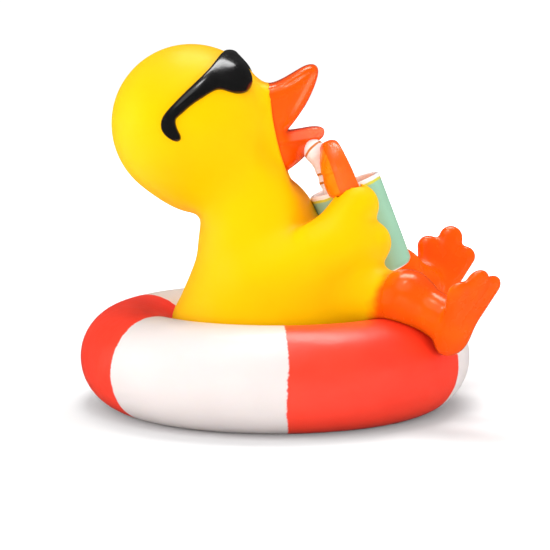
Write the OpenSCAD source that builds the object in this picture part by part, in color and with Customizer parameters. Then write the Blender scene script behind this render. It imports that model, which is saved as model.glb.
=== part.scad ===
// Floating chlorine dispenser: a duck reclining in a swim ring, with a tablet
// chamber hidden up inside the body. Millimetres, +Z up, the duck faces +X.
// The origin is the centre of the ring's resting plane.

/* [Ring] */
// Radius from the ring's axis to the middle of its tube
ring_r = 79; // [79:0.5:81]
// Radius of the ring's tube
tube_r = 28; // [27.5:0.25:28]
// Depth of the flat that the ring rests on
rest_depth = 1.5; // [1:0.25:2]
// Wall thickness of the blown shells
shell_wall = 1.8; // [1.4:0.1:2]

/* [Duck] */
// Radius of the head
head_r = 44; // [42:0.5:45]
// Sideways half width of the body at its widest
body_half_width = 53; // [51:0.5:54]
// Angle of each leg away from straight ahead
leg_splay = 35; // [33:1:38]
// Outward turn of each foot
foot_turn = 50; // [45:1:55]
// Outward lean of each foot away from upright
foot_lean = 27; // [24:1:30]

/* [Drink] */
// Outer radius of the cup
cup_r = 20; // [19:0.5:20.5]
// Height of the cup along its own axis
cup_h = 49; // [46:1:50]
// Backward tilt of the cup
cup_tilt = 21; // [19:1:23]
// Outer radius of the straw's stem
straw_r = 2.8; // [2.4:0.1:2.9]

/* [Tablet chamber] */
// Radius of one chlorine tablet
tablet_r = 37.75; // [36:0.25:38]
// Thickness of one chlorine tablet
tablet_h = 25; // [20:1:25]
// Wall thickness of the moulded chamber parts
mould_wall = 1.4; // [1.2:0.1:1.5]
// Number of vent windows in the cap, the dial and the basket floor
vents = 6; // [4:1:6]
// Opening angle of one vent window
vent_angle = 27; // [20:1:28]
// Number of flange screws
screws = 6; // [4:1:6]

/* [Hidden] */
$fn = 64;

gap = 0.3;                              // assembly clearance between fixed parts
run = 0.05;                             // radial running clearance on the pivot
blend_fn = 20;                          // facets on a blended shape
ring_z = tube_r - rest_depth;           // height of the tube's centre circle
ring_hole_r = ring_r - tube_r;

// Chamber levels, from the ground up
dial_z = 2.6;
dial_h = 1.6;
collar_z = 3.5;
cap_z = 4.5;
cap_h = 2.2;
flange_z = 7;
flange_h = 3;
gasket_h = 1;
base_ring_z = flange_z + flange_h + gasket_h;
base_ring_h = 12;
floor_z = 7.2;                          // basket's floor
floor_h = 2;
rest_rib_h = 1.2;                       // ribs that the lower tablet rests on
tablet_z = floor_z + floor_h + rest_rib_h;
tablet_gap = 0.2;
tablet_edge = 1.5;                      // chamfer of a tablet
tablet_headroom = 2.4;
basket_top = tablet_z + 2 * tablet_h + 0.6;
chamber_top = tablet_z + 2 * tablet_h + tablet_gap + tablet_headroom;

// Chamber radii, from the tablet outwards
basket_in_r = tablet_r + 1.15;
basket_r = basket_in_r + mould_wall;
canister_in_r = basket_r + 0.5;
canister_r = canister_in_r + mould_wall + 0.4;
lip_r = basket_r + 1.7;
channel_r = lip_r + 1.4;
skirt_r = ring_hole_r - 0.6;
skirt_in_r = skirt_r - shell_wall;
flange_r = skirt_in_r - gap - 0.1;
screw_circle_r = flange_r - 2;
pilot_r = 1.3;                          // screw's thread
screw_head_r = 2.5;
screw_head_h = 1.7;
pivot_r = 3;
pivot_head_r = 6;
clip_r = 5;
dial_r = 33;
vent_in_r = 12;
vent_out_r = 30;
lug_angle = 20;
lug_h = 1.2;
eye_r = 1.5;
eye_circle_r = ring_hole_r + 1.8;

// Cup placement: the rim's centre, and the direction of the cup's axis
rim = [37.8, 0, 120.4];
cup_edge = 4;                           // chamfer round the bottom of the cup
cup_wall = 2.2;
drink_depth = 4;                        // drink's surface below the rim
drink_h = 4;
slice_r = 16.5;
slice_t = 11.5;
slice_edge = 5;                         // rounding of the slice's peel
peel_t = 2.2;
flesh_inset = 1.7;                      // flesh's face below the peel's
slice_at = [0.5, -19.5, 11];            // slice's centre, from the rim's centre
slice_yaw = 8;

head = [-45, 0, 153];
lens_r = 12.5;
lens_h = 4;                             // lens's height above the head
knee_r = 85;                            // knee's distance from the ring's axis
knee_z = 66;
heel_r = 112;

function lerp(a, b, t) = a + (b - a) * t;
function on_head(dir, r) = head + r * dir / norm(dir);

// ---------- shared shapes ----------

module tube(r_out, r_in, z, h) {
    translate([0, 0, z]) difference() {
        cylinder(r = r_out, h = h);
        translate([0, 0, -1]) cylinder(r = r_in, h = h + 2);
    }
}

module ellipsoid(at, radii, fn = blend_fn) {
    translate(at) scale(radii) sphere(r = 1, $fn = fn);
}

module around(n, r = 0, first = 0) {
    for (i = [0 : n - 1]) rotate(first + i * 360 / n) translate([r, 0, 0]) children();
}

// One vent window: a ring sector between two radii
module sector(r_in, r_out, angle, z, h) {
    translate([0, 0, z]) rotate(-angle / 2)
        rotate_extrude(angle = angle) translate([r_in, 0]) square([r_out - r_in, h]);
}

module mirrored_to(side) {
    if (side > 0) mirror([0, 1, 0]) children();
    else children();
}

module in_cup_frame() {
    translate(rim) rotate([0, -cup_tilt, 0]) children();
}

// ---------- swim ring ----------

plug_r = 3;
plug_angle = 225;

module ring_solid(r) {
    rotate_extrude() translate([ring_r, 0]) circle(r = r);
}

module ring_shell() color("orangered") {
    translate([0, 0, ring_z]) difference() {
        ring_solid(tube_r);
        translate([0, 0, -tube_r - ring_z]) cylinder(r = 2 * ring_r, h = tube_r);
        difference() {
            ring_solid(tube_r - shell_wall);
            translate([0, 0, -tube_r - ring_z + shell_wall]) cylinder(r = 2 * ring_r, h = tube_r);
        }
        rotate(plug_angle) translate([ring_r, 0, -tube_r]) cylinder(r = plug_r, h = 5);
    }
}

// Air plug: a stem in the ring's hole, with a barb inside that holds it
module ring_plug() color("white") rotate(plug_angle) translate([ring_r, 0, 0]) {
    translate([0, 0, 0.3]) cylinder(r = plug_r - 0.1, h = 2.2);
    translate([0, 0, shell_wall + 0.2]) cylinder(r1 = plug_r + 1, r2 = plug_r - 0.4, h = 2.2);
}

// ---------- duck ----------

// Body stations from the skirt to the throat:
// [height, centre x, half length along x, half width along y]
body = [
    [18, 0, skirt_r, skirt_r],
    [30, 0, skirt_r, skirt_r],
    [46, 0, 56.5, body_half_width],
    [58, 2.5, 54, body_half_width - 1],
    [70, 4, 50.5, body_half_width - 5],
    [80, 1, 44, 43],
    [92, -5.5, 36, 37],
    [104, -11, 33, 34],
    [114, -11.5, 29.5, 31],
    [124, -15, 22, 29]
];
slab = 6;                               // half height of one station's ellipsoid

module station(s, inset) {
    ellipsoid([s[1], 0, s[0]], [s[2] - inset, s[3] - inset, slab]);
}

module wing_form(inset) {
    shoulder = [8, -34, 84];
    elbow = [30, -33, 82];
    fingers = [[43, -27, 111], [49, -27, 94]];
    for (tip = fingers) hull() {
        ellipsoid(elbow, [17, 14, 16] - inset * [1, 1, 1]);
        ellipsoid(tip, [13.5, 9.5, 13.5] - inset * [1, 1, 1]);
    }
    hull() {
        ellipsoid(shoulder, [16, 14, 19] - inset * [1, 1, 1]);
        ellipsoid(elbow, [17, 14, 16] - inset * [1, 1, 1]);
    }
}

module thigh_form(inset) {
    hull() {
        ellipsoid([34, -18, 60], [17, 16, 14] - inset * [1, 1, 1]);
        rotate(-leg_splay) ellipsoid([knee_r - 15, 0, knee_z], [9, 14, 14] - inset * [1, 1, 1]);
    }
}

module head_form(inset) {
    ellipsoid(head, (head_r - inset) * [1, 0.97, 1], 36);
    hull() {
        ellipsoid([-26, 0, 150], [25, 29, 31] - inset * [1, 1, 1]);
        ellipsoid([-13, 0, 137], [19, 22, 21] - inset * [1, 1, 1]);
    }
}

module duck_form(inset) {
    for (i = [0 : len(body) - 2]) hull() {
        station(body[i], inset);
        station(body[i + 1], inset);
    }
    head_form(inset);
    for (side = [-1, 1]) mirrored_to(side) {
        wing_form(inset);
        thigh_form(inset);
    }
}

// Space that the separate parts on the duck's skin take up, grown by a margin
module skin_recesses(grow) {
    in_cup_frame() {
        cup_form(grow, cup_h);
        slice_form(grow);
    }
    beak_root(grow);
    for (side = [-1, 1]) mirrored_to(side) foot_stub(grow);
}

module duck_shell() color("gold") union() {
    difference() {
        duck_form(0);
        difference() {
            duck_form(shell_wall);
            skin_recesses(gap + shell_wall);
        }
        translate([0, 0, -10]) cylinder(r = 60, h = 20.4);
        tube(skirt_in_r, 0, 5, 30);
        ring_clearance();
        skin_recesses(gap);
        throat_vent();
    }
}

// Lets air out of the free-flooding body, hidden under the chin
module throat_vent() {
    translate([0, 0, 118]) rotate([0, 60, 0]) cylinder(r = 2, h = 40, $fn = 16);
}

// The shell keeps clear of the ring's inner and upper slope
module ring_clearance() {
    translate([0, 0, ring_z]) rotate_extrude($fn = 96) translate([ring_r, 0]) circle(r = tube_r + gap);
}

module beak_root(grow) {
    translate([-3, 0, 152]) rotate([0, 81, 0]) scale([1, 0.8, 1])
        translate([0, 0, -3 - grow]) cylinder(r = 19 + grow, h = 40, $fn = 40);
}

// One bill: a spoon that runs from the root to a rounded tip
module bill(root, root_radii, tip, tip_radii) {
    hull() {
        ellipsoid(root, root_radii);
        ellipsoid(lerp(root, tip, 0.55), lerp(root_radii, tip_radii, 0.45));
        ellipsoid(tip, tip_radii);
    }
}

module beak() color("orangered") difference() {
    union() {
        intersection() {
            beak_root(0);
            ellipsoid([-8, 0, 150], [17, 18, 26]);
        }
        bill([2, 0, 160], [5, 15, 13], [20, 0, 182.5], [2.6, 9, 2.6]);
        bill([5, 0, 141], [6, 14, 9], [24, 0, 149], [2.4, 10, 2.4]);
    }
    difference() {
        head_form(-gap);
        beak_root(0);
    }
    in_cup_frame() straw_bend(gap);
}

// Temple and brow points as directions from the head's centre
brow = [[25, 0, 33], [22, -17, 34], [8, -34, 26], [-8, -41, 7], [-12, -42, -3]];
brow_r = [2.6, 3, 3.4, 2.8, 2.2];

module sunglasses_frame() color([0.05, 0.05, 0.05]) difference() {
    for (side = [-1, 1]) mirrored_to(side)
        for (i = [0 : len(brow) - 2]) hull() {
            translate(on_head(brow[i], head_r + brow_r[i] + gap)) sphere(r = brow_r[i], $fn = 16);
            translate(on_head(brow[i + 1], head_r + brow_r[i + 1] + gap))
                sphere(r = brow_r[i + 1], $fn = 16);
        }
    for (side = [-1, 1]) mirrored_to(side) lens_form(gap);
    head_form(-gap);
}

// A round lens, as a cap of a sphere that stands just off the head
module lens_form(grow) {
    dir = [25, -24, 27];
    intersection() {
        translate(head) sphere(r = head_r + lens_h + grow, $fn = 96);
        translate(head) rotate([0, 0, atan2(dir[1], dir[0])])
            rotate([0, acos(dir[2] / norm(dir)), 0])
                cylinder(r = lens_r + grow, h = 2 * head_r);
    }
}

module lens(side) color([0.03, 0.03, 0.03]) difference() {
    mirrored_to(side) lens_form(0);
    translate(head) sphere(r = head_r + gap, $fn = 96);
}

// Each foot has a knee that plugs into the thigh, an ankle that lies over the
// ring, and a webbed paddle that stands outside it.
module foot_stub(grow) {
    rotate(-leg_splay) translate([knee_r - 13 - grow, 0, knee_z]) rotate([0, 90, 0])
        cylinder(r = 8 + grow, h = 18, $fn = 32);
}

module at_foot() {
    rotate(-leg_splay) translate([heel_r, 0, 43]) rotate([0, 0, leg_splay - foot_turn])
        rotate([0, foot_lean, 0]) children();
}

module foot_plate() at_foot() {
    heel = [0, 0, 0];
    toes = [[0, -11.5, 37], [0, 0, 42], [0, 11.5, 37]];
    for (toe = toes) hull() {
        ellipsoid(heel, [5, 7, 6], 20);
        ellipsoid(toe, [4.2, 6.4, 6.4], 20);
    }
    hull() for (toe = toes) {
        ellipsoid(lerp(heel, toe, 0.86), [3, 6, 4], 16);
        ellipsoid(heel, [4, 7, 5], 16);
    }
}

module foot(side) color("orangered") mirrored_to(side) difference() {
    union() {
        foot_plate();
        foot_stub(0);
        hull() {
            rotate(-leg_splay) ellipsoid([knee_r, 0, knee_z], [8, 14, 14], 24);
            rotate(-leg_splay) ellipsoid([knee_r + 12, 0, 58], [7, 12, 12], 24);
        }
        hull() {
            rotate(-leg_splay) ellipsoid([knee_r + 12, 0, 58], [7, 12, 12], 24);
            at_foot() ellipsoid([-1, 0, 10], [5, 9, 12], 24);
        }
        hull() {
            rotate(-leg_splay) ellipsoid([knee_r + 16, 0, 52], [7, 10, 10], 24);
            at_foot() ellipsoid([0, 0, 0], [5, 7, 6], 20);
        }
    }
    duck_clearance();
    ring_clearance();
}

// The end of the thigh that the foot butts against
module duck_clearance() {
    difference() {
        thigh_form(-gap);
        foot_stub(0);
    }
}

// ---------- drink ----------

module cup() color("mediumaquamarine") in_cup_frame() {
    difference() {
        cup_form(0, 0);
        translate([0, 0, -cup_h + cup_edge + cup_wall]) cylinder(r = cup_r - cup_wall, h = cup_h);
        slice_form(gap);
    }
}

// The cup's outside, grown by a margin and carried on above its rim
module cup_form(grow, above) {
    chamfer = cup_edge + 0.6 * grow;
    translate([0, 0, -cup_h - grow]) {
        cylinder(r1 = cup_r + grow - chamfer, r2 = cup_r + grow, h = chamfer);
        translate([0, 0, chamfer]) cylinder(r = cup_r + grow, h = cup_h + grow - chamfer + above);
    }
}

module cup_drink() color("navajowhite") in_cup_frame() difference() {
    translate([0, 0, -drink_depth - drink_h]) cylinder(r = cup_r - cup_wall - run, h = drink_h);
    translate([straw_at[0], straw_at[1], -20]) cylinder(r = straw_r + gap, h = 20);
    slice_form(gap);
}

straw_at = [-9.3, 0];
straw_stem_h = 14;

module straw() color("white") in_cup_frame() {
    translate([straw_at[0], straw_at[1], -6]) cylinder(r = straw_r, h = straw_stem_h);
    straw_bend(0);
}

// The stem swells into a thick bend that ends in front of the lower bill
module straw_bend(grow) {
    hull() {
        translate([straw_at[0], straw_at[1], 6]) sphere(r = straw_r + grow, $fn = 24);
        translate([-10.4, -6.8, 21.5]) sphere(r = 4.8 + grow, $fn = 24);
    }
}

module at_slice() {
    translate(slice_at) rotate([0, 90, slice_yaw]) children();
}

// The whole slice: a disc with a rounded peel, grown by a margin
module slice_form(grow) {
    edge = slice_edge + grow;
    flat = slice_t / 2 + grow;
    at_slice() rotate_extrude() {
        translate([0, -flat]) square([slice_r + grow - edge, 2 * flat]);
        translate([0, edge - flat]) square([slice_r + grow, 2 * (flat - edge)]);
        for (side = [-1, 1]) intersection() {
            translate([slice_r + grow - edge, side * (flat - edge)]) circle(r = edge);
            translate([0, -flat]) square([2 * slice_r, 2 * flat]);
        }
    }
}

module citrus_rind() color("darkorange") in_cup_frame() difference() {
    slice_form(0);
    at_slice() cylinder(r = slice_r - peel_t, h = 2 * slice_t, center = true);
}

module citrus_flesh() color("orange") in_cup_frame() at_slice()
    cylinder(r = slice_r - peel_t - run, h = slice_t - 2 * flesh_inset, center = true);

// ---------- tablet chamber, fixed parts ----------

module base_ring() color("white") difference() {
    tube(skirt_in_r - gap / 2, canister_r + gap, base_ring_z, base_ring_h);
    around(screws, screw_circle_r) translate([0, 0, base_ring_z - 1]) cylinder(r = pilot_r, h = 11);
}

module canister() color("white") difference() {
    union() {
        tube(canister_r, canister_in_r, flange_z, chamber_top - flange_z + mould_wall);
        tube(flange_r, canister_in_r, flange_z, flange_h);
        translate([0, 0, chamber_top]) cylinder(r = canister_r, h = mould_wall);
    }
    around(screws, screw_circle_r) cylinder(r = pilot_r + 0.5, h = 20);
    around(8, canister_in_r / 2) translate([0, 0, chamber_top - 1]) cylinder(r = 2, h = 5);
    for (turn = [0, 180]) rotate(turn) translate([canister_in_r - 1, -1.6, 0])
        cube([1.9, 3.2, chamber_top]);
}

module flange_gasket() color("dimgray") difference() {
    tube(flange_r, canister_r + gap, flange_z + flange_h, gasket_h);
    around(screws, screw_circle_r) cylinder(r = pilot_r + 0.5, h = 20);
}

module collar_profile() {
    top_z = base_ring_z;
    polygon([
        [lip_r, collar_z], [ring_hole_r + 5.5, collar_z], [ring_hole_r + 7, collar_z + 1.7],
        [ring_hole_r + 7, flange_z], [ring_hole_r + 3.6, top_z], [ring_hole_r, top_z],
        [ring_hole_r, flange_z], [lip_r, flange_z]
    ]);
}

module clamp_collar() color("white") difference() {
    rotate_extrude() collar_profile();
    translate([0, 0, collar_z + 1.9]) cylinder(r = channel_r, h = 5);
    around(3, 0, 45) sector(lip_r - 1, channel_r - 0.2, lug_angle + 6, collar_z - 1, 4);
    around(screws, screw_circle_r) {
        cylinder(r = pilot_r + 0.5, h = 20);
        cylinder(r = screw_head_r + gap, h = collar_z + 2);
    }
    rotate(180) translate([eye_circle_r, 0, 0]) cylinder(r = eye_r, h = 20);
}

module flange_screws() color("silver") around(screws, screw_circle_r) difference() {
    union() {
        translate([0, 0, collar_z + 0.3]) cylinder(r = screw_head_r, h = screw_head_h);
        translate([0, 0, collar_z + 2]) cylinder(r = pilot_r - run, h = 15);
    }
    translate([0, 0, collar_z]) cylinder(r = 1, h = 1.3, $fn = 6);
}

// ---------- tablet chamber, moving parts ----------

module vent_windows(r_in, r_out, z, h) {
    around(vents) sector(r_in, r_out, vent_angle, z, h);
}

module basket() color("white") difference() {
    union() {
        tube(basket_r, basket_in_r, floor_z, basket_top - floor_z);
        translate([0, 0, floor_z]) cylinder(r = basket_r, h = floor_h);
        around(vents, 0, 180 / vents) translate([10, -0.8, floor_z])
            cube([26, 1.6, floor_h + rest_rib_h]);
        for (turn = [0, 180]) rotate(turn) translate([basket_r - 0.6, -1.2, floor_z])
            cube([1.5, 2.4, basket_top - floor_z]);
    }
    vent_windows(vent_in_r, vent_out_r, floor_z - 1, floor_h + 2);
    around(12, 0, 15) translate([basket_in_r - 2, -2.5, floor_z + 7])
        cube([6, 5, basket_top - floor_z - 14]);
    translate([0, 0, floor_z - 1]) cylinder(r = pivot_r + run, h = 5);
}

module tablet(z) color("ivory") translate([0, 0, z]) {
    cylinder(r1 = tablet_r - tablet_edge, r2 = tablet_r, h = tablet_edge);
    translate([0, 0, tablet_edge]) cylinder(r = tablet_r, h = tablet_h - 2 * tablet_edge);
    translate([0, 0, tablet_h - tablet_edge])
        cylinder(r1 = tablet_r, r2 = tablet_r - tablet_edge, h = tablet_edge);
}

module tablet_lower() tablet(tablet_z);

module tablet_upper() tablet(tablet_z + tablet_h + tablet_gap);

module base_cap() color("white") difference() {
    union() {
        translate([0, 0, cap_z]) cylinder(r = lip_r - 0.4, h = cap_h);
        around(3) sector(lip_r - 2, channel_r - 0.4, lug_angle, cap_z + cap_h - lug_h, lug_h);
    }
    vent_windows(vent_in_r, vent_out_r, cap_z - 1, cap_h + 2);
    translate([0, 0, cap_z - 1]) cylinder(r = pivot_r + run, h = cap_h + 2);
}

module dial_pivot() color("silver") {
    translate([0, 0, dial_z - 1.8]) cylinder(r = pivot_head_r, h = 1.2);
    translate([0, 0, dial_z - 0.6]) cylinder(r = pivot_r, h = floor_z + floor_h + 1.5 - dial_z);
}

module pivot_clip() color("silver") tube(clip_r, pivot_r + run, floor_z + floor_h + 0.1, 0.7);

module dial_washer() color("silver") tube(pivot_head_r - 0.5, pivot_r + run, dial_z - 0.5, 0.4);

module flow_dial() color("deepskyblue") difference() {
    union() {
        translate([0, 0, dial_z]) cylinder(r = dial_r, h = dial_h);
        for (turn = [0, 180]) rotate(turn + 30) translate([9, -1.5, dial_z - 1.8])
            cube([20, 3, 2]);
    }
    vent_windows(vent_in_r, vent_out_r, dial_z - 3, dial_h + 5);
    translate([0, 0, dial_z - 1]) cylinder(r = pivot_r + run, h = dial_h + 2);
}

// ---------- output ----------

ring_shell();
ring_plug();
duck_shell();
beak();
sunglasses_frame();
lens(1);  // lens_left
lens(-1);  // lens_right
foot(1);  // foot_left
foot(-1);  // foot_right
cup();
cup_drink();
straw();
citrus_rind();
citrus_flesh();
base_ring();
canister();
flange_gasket();
clamp_collar();
flange_screws();
basket();
tablet_lower();
tablet_upper();
base_cap();
dial_pivot();
pivot_clip();
flow_dial();
dial_washer();
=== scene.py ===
"""Looks for the floating chlorine dispenser: a vinyl duck that reclines in a swim ring.

Shapes are described in millimetres in the frame of the CAD model, and turned to metres when a
mesh is made. The duck faces +X, and its right-hand side faces the camera at -Y.
"""

import math
from functools import reduce

import bmesh
import bpy
import numpy as np
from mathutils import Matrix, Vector


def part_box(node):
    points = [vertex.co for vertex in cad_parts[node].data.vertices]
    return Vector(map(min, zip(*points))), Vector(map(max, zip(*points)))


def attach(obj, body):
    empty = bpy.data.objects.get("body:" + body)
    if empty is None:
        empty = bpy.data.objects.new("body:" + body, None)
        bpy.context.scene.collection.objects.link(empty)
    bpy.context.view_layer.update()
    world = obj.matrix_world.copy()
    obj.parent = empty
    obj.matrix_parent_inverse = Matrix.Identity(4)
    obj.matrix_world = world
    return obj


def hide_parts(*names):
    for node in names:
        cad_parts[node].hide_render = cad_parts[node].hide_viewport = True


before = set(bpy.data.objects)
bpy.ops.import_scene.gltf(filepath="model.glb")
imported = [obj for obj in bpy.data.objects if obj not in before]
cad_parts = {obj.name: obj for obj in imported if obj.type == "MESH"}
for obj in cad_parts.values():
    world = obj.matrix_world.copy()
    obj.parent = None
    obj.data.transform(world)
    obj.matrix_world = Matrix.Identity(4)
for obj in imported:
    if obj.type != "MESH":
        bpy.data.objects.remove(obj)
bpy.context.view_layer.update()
MM = 0.001
DETAIL = 1.0  # coarser meshes while trying things


# ---------- distance fields ----------
# A field takes points as [x, y, z] arrays, and is below zero inside the solid. The places, radii
# and fillets below were read off the photograph in proportion to the ring.


def length(*parts):
    return np.sqrt(sum(part * part for part in parts))


def ellipsoid(p, at, radii):
    q = [p[i] - at[i] for i in range(3)]
    near = length(*(q[i] / radii[i] for i in range(3)))
    far = length(*(q[i] / radii[i] ** 2 for i in range(3)))
    return near * (near - 1) / np.maximum(far, 1e-6)


def round_cone(p, start, end, start_r, end_r):
    axis = [end[i] - start[i] for i in range(3)]
    size = sum(a * a for a in axis)
    t = sum((p[i] - start[i]) * axis[i] for i in range(3)) / size
    t = np.clip(t, 0, 1)
    q = [p[i] - start[i] - t * axis[i] for i in range(3)]
    return length(*q) - (start_r + t * (end_r - start_r))


def union(a, b, k):
    """Union of two fields with a fillet about k across."""
    h = np.clip(0.5 + 0.5 * (b - a) / k, 0, 1)
    return b + (a - b) * h - k * h * (1 - h)


def common(a, b, k):
    return -union(-a, -b, k)


def cut(a, b, k):
    return -union(-a, b, k)


def smoothstep(low, high, x):
    t = np.clip((x - low) / (high - low), 0, 1)
    return t * t * (3 - 2 * t)


def curve(x, points, column):
    """A smooth curve through points, read at x. Column picks which value of a point to follow."""
    xs = np.array([point[0] for point in points], float)
    ys = np.array([point[column] for point in points], float)
    slopes = np.gradient(ys, xs)
    x = np.clip(x, xs[0], xs[-1])
    i = np.clip(np.searchsorted(xs, x) - 1, 0, len(xs) - 2)
    span = xs[i + 1] - xs[i]
    t = (x - xs[i]) / span
    a, b = ys[i], ys[i + 1]
    ta, tb = slopes[i] * span, slopes[i + 1] * span
    return (
        (2 * t**3 - 3 * t**2 + 1) * a
        + (t**3 - 2 * t**2 + t) * ta
        + (3 * t**2 - 2 * t**3) * b
        + (t**3 - t**2) * tb
    )


def rounded_outline(points, passes=2):
    """Cuts the corners of a closed outline."""
    outline = np.array(points, float)
    for _ in range(passes):
        after = np.roll(outline, -1, axis=0)
        outline = np.stack([0.75 * outline + 0.25 * after, 0.25 * outline + 0.75 * after], 1)
        outline = outline.reshape(-1, 2)
    return outline


def outline_distance(u, v, outline):
    """Signed distance in the plane to a closed outline, below zero inside."""
    u, v = np.broadcast_arrays(u, v)
    best = np.full(u.shape, np.inf, np.float32)
    inside = np.zeros(u.shape, bool)
    for a, b in zip(outline, np.roll(outline, -1, axis=0)):
        du, dv = b - a
        t = np.clip(((u - a[0]) * du + (v - a[1]) * dv) / (du * du + dv * dv), 0, 1)
        best = np.minimum(best, (u - a[0] - t * du) ** 2 + (v - a[1] - t * dv) ** 2)
        if dv:
            crosses = (v < a[1]) != (v < b[1])
            inside ^= crosses & (u < a[0] + (v - a[1]) * du / dv)
    return np.where(inside, -1, 1) * np.sqrt(best)


def local(p, at, axes):
    """The points in a frame that stands at a place, with three unit axes."""
    q = [p[i] - at[i] for i in range(3)]
    return [sum(q[i] * axis[i] for i in range(3)) for axis in axes]


# ---------- meshes from fields ----------

CORNERS = [(i, j, k) for i in (0, 1) for j in (0, 1) for k in (0, 1)]
EDGES = [
    (a, b)
    for a in CORNERS
    for b in CORNERS
    if a < b and sum(abs(a[i] - b[i]) for i in range(3)) == 1
]


def surface_net(values, low, step):
    """Vertices and quads of the surface where a sampled field is zero."""
    inside = values < 0
    cells_shape = tuple(n - 1 for n in values.shape)

    def corner(array, c):
        return array[tuple(slice(c[i], c[i] + cells_shape[i]) for i in range(3))]

    count = sum(corner(inside, c).astype(np.int8) for c in CORNERS)
    cells = np.argwhere((count > 0) & (count < 8))
    index = np.full(cells_shape, -1, np.int64)
    index[tuple(cells.T)] = np.arange(len(cells))
    total = np.zeros((len(cells), 3))
    hits = np.zeros(len(cells))
    for a, b in EDGES:
        va = values[tuple((cells + a).T)]
        vb = values[tuple((cells + b).T)]
        crossed = (va < 0) != (vb < 0)
        t = np.where(crossed, va / np.where(crossed, va - vb, 1), 0)
        place = np.array(a) + t[:, None] * (np.array(b) - np.array(a))
        total[crossed] += place[crossed]
        hits[crossed] += 1
    vertices = low + step * (cells + total / hits[:, None])
    quads = []
    for axis in range(3):
        side_1, side_2 = [(axis + n) % 3 for n in (1, 2)]
        near = [slice(None)] * 3
        far = [slice(None)] * 3
        near[axis], far[axis] = slice(None, -1), slice(1, None)
        starts, ends = inside[tuple(near)], inside[tuple(far)]
        for rising in (False, True):
            found = np.argwhere((starts & ~ends) if not rising else (~starts & ends))
            keep = (found[:, side_1] > 0) & (found[:, side_2] > 0)
            keep &= found[:, side_1] < cells_shape[side_1]
            keep &= found[:, side_2] < cells_shape[side_2]
            found = found[keep]
            back_1 = np.zeros(3, int)
            back_2 = np.zeros(3, int)
            back_1[side_1] = back_2[side_2] = 1
            ring = [found - back_1 - back_2, found - back_2, found, found - back_1]
            quad = np.stack([index[tuple(c.T)] for c in ring], 1)
            quads.append(quad[:, ::-1] if rising else quad)
    return vertices, np.concatenate(quads)


SAMPLE_APART = 0.15  # half the distance that a slope is measured over, in steps of the mesh
LEAST_SLOPE = 0.2  # slopes below this count as this, so that no vertex shoots off
LONGEST_MOVE = 0.7  # of a vertex towards the surface, in steps of the mesh
EVENING_PASSES = 3


def settle(vertices, quads, field, step):
    """Evens the vertices out along the surface, and puts them exactly on it."""
    pairs = np.concatenate([quads[:, [i, (i + 1) % 4]] for i in range(4)])
    degree = np.bincount(pairs.ravel(), minlength=len(vertices))[:, None]

    def on_surface(v):
        nudge = SAMPLE_APART * step
        d = field(v.T)
        slope = np.stack(
            [
                (field((v + nudge * axis).T) - field((v - nudge * axis).T)) / (2 * nudge)
                for axis in np.eye(3)
            ],
            1,
        )
        size = np.maximum((slope**2).sum(1), LEAST_SLOPE**2)
        move = slope * (d / size)[:, None]
        far = np.maximum(length(*move.T), 1e-9)
        return v - move * np.minimum(1, LONGEST_MOVE * step / far)[:, None]

    v = on_surface(vertices)
    for _ in range(EVENING_PASSES):
        total = np.zeros_like(v)
        for a, b in ((0, 1), (1, 0)):
            for i in range(3):
                total[:, i] += np.bincount(pairs[:, a], v[pairs[:, b], i], len(v))
        v = on_surface(0.5 * v + 0.5 * total / degree)
    return on_surface(v)


POINTS_AT_ONCE = 400000  # keeps the arrays small while a field is sampled


def add_piece(name, mesh):
    piece = bpy.data.objects.new(name, mesh)
    bpy.context.scene.collection.objects.link(piece)
    return piece


def sculpt(name, field, low, high, step):
    """A mesh object of the solid that a field describes, inside a box."""
    step = step * DETAIL
    low = np.array(low, float)
    counts = [int(math.ceil((high[i] - low[i]) / step)) + 1 for i in range(3)]
    axes = [low[i] + step * np.arange(counts[i]) for i in range(3)]
    values = np.empty(counts, np.float32)
    slab = max(1, int(POINTS_AT_ONCE / (counts[1] * counts[2])))
    for start in range(0, counts[0], slab):
        x = axes[0][start : start + slab, None, None]
        p = [x, axes[1][None, :, None], axes[2][None, None, :]]
        values[start : start + slab] = field([q.astype(np.float32) for q in p])
    vertices, quads = surface_net(values, low, step)
    vertices = settle(vertices, quads, field, step)
    mesh = bpy.data.meshes.new(name)
    mesh.from_pydata((vertices * MM).tolist(), [], quads.tolist())
    mesh.polygons.foreach_set("use_smooth", [True] * len(mesh.polygons))
    mesh.update()
    return add_piece(name, mesh)


def lathe(name, profile, turns):
    """A closed mesh made by turning a closed (radius, height) profile about the Z axis."""
    bm = bmesh.new()
    rings = []
    for n in range(turns):
        a = 2 * math.pi * n / turns
        x, y = math.cos(a) * MM, math.sin(a) * MM
        rings.append([bm.verts.new((r * x, r * y, z * MM)) for r, z in profile])
    for n in range(turns):
        here, there = rings[n], rings[(n + 1) % turns]
        for i in range(len(profile)):
            j = (i + 1) % len(profile)
            bm.faces.new((here[i], there[i], there[j], here[j])).smooth = True
    bmesh.ops.recalc_face_normals(bm, faces=bm.faces)
    mesh = bpy.data.meshes.new(name)
    bm.to_mesh(mesh)
    bm.free()
    return add_piece(name, mesh)


# ---------- places, in the CAD frame ----------

RING_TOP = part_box("ring_shell")[1]
TUBE_R = 28
RING_R = RING_TOP.x / MM - TUBE_R
RING_Z = RING_TOP.z / MM - TUBE_R

# The duck's skirt goes down through the ring's hole, and is left open for the canister, which
# stands on the wider base ring
SKIRT_R = RING_R - TUBE_R - 0.6  # just clear of the ring's hole
SKIRT_WALL = 1.8
SKIRT_BOTTOM = 10.6
BASE_RING_TOP = 30
CANISTER_R = 43.2
CANISTER_TOP = 65

GAP = 0.15  # between the duck or a foot and the pieces it only touches
DRINK_GAP = 0.12  # the same between the slice and the cup or the drink
SEAM_ROUND = 0.3  # edges of the mouldings along a seam

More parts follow.
